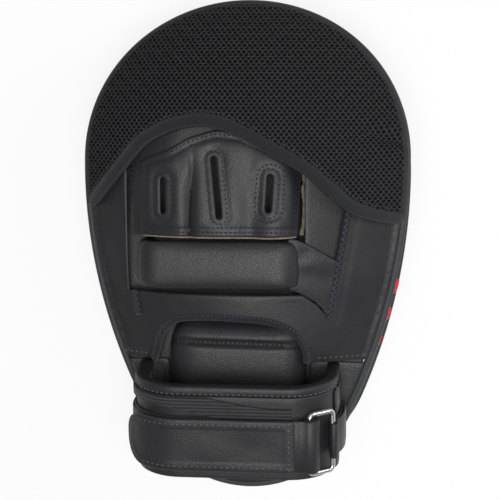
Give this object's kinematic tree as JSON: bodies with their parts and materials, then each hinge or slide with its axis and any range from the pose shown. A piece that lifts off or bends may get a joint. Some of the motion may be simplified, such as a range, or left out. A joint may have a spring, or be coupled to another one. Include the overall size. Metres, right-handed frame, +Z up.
{
  "type": "focus mitt",
  "caption": "Curved padded punch mitt with a domed hand cover, mesh finger hood, slotted finger panel, palm cushion and a ring-and-flap wrist cuff.",
  "frame": {"origin": "under the middle of the mitt, on the surface its strike face lies on", "axes": "+X towards the thumb side, +Y towards the fingertips, +Z up from the strike face to the back of the hand"},
  "size_m": [0.183, 0.28, 0.1038],
  "materials": {
    "black_leather": "smooth matt leather, black",
    "red_leather": "smooth leather, red",
    "grey_piping": "woven piping, grey",
    "gel_foam": "dense foam, matt",
    "core_foam": "closed-cell foam, matt",
    "soft_foam": "open-cell foam, matt",
    "lining_cloth": "knitted lining cloth, black",
    "black_tape": "woven binding tape, black",
    "spacer_mesh": "open spacer mesh, black",
    "loop_fabric": "fuzzy loop fabric, black",
    "hook_fabric": "hook tape, black",
    "grey_webbing": "ribbed elastic webbing, charcoal",
    "nickel_wire": "bright nickel plate"
  },
  "bodies": {
    "mitt": {"strike_cover": "black_leather", "impact_foam": "gel_foam", "core_foam": "core_foam", "soft_foam": "soft_foam", "back_cover": "lining_cloth", "strike_piping": "grey_piping", "back_piping": "grey_piping", "strike_wall": "black_leather", "rim_band_upper": "black_leather", "rim_band_lower": "black_leather", "side_tabs": "red_leather", "hand_cover": "black_leather", "thumb_panel": "black_leather", "thumb_seam": "black_tape", "left_tack": "black_tape", "thumb_web": "black_leather", "notch_binding": "black_tape", "mesh_hood": "spacer_mesh", "hood_binding": "black_tape", "finger_pouch": "black_leather", "finger_panel": "black_leather", "bar_cover": "black_leather", "bar_foam": "soft_foam", "cushion_cover": "black_leather", "cushion_foam": "soft_foam", "heel_panel": "black_leather", "cuff_cover": "black_leather", "cuff_foam": "soft_foam", "cuff_lining": "lining_cloth", "cuff_binding": "black_tape", "closure_strap": "lining_cloth", "loop_patch": "loop_fabric", "elastic_edge": "grey_webbing", "keeper_panel": "black_leather", "keeper_tab": "black_leather"},
    "ring": {"ring": "nickel_wire", "strap_fold": "black_leather"},
    "flap": {"flap": "black_leather", "hook_patch": "hook_fabric"}
  },
  "joints": [
    {"name": "ring_pivot", "type": "hinge", "parent": "mitt", "child": "ring", "pos_m": [0.05122, -0.099, 0.08787], "axis": [0, 0.9876, 0.1569], "range_deg": [0, 18]},
    {"name": "flap_hinge", "type": "hinge", "parent": "ring", "child": "flap", "pos_m": [0.03954, -0.10027, 0.09588], "axis": [0, 0.9876, 0.1569], "range_deg": [0, 150]}
  ]
}
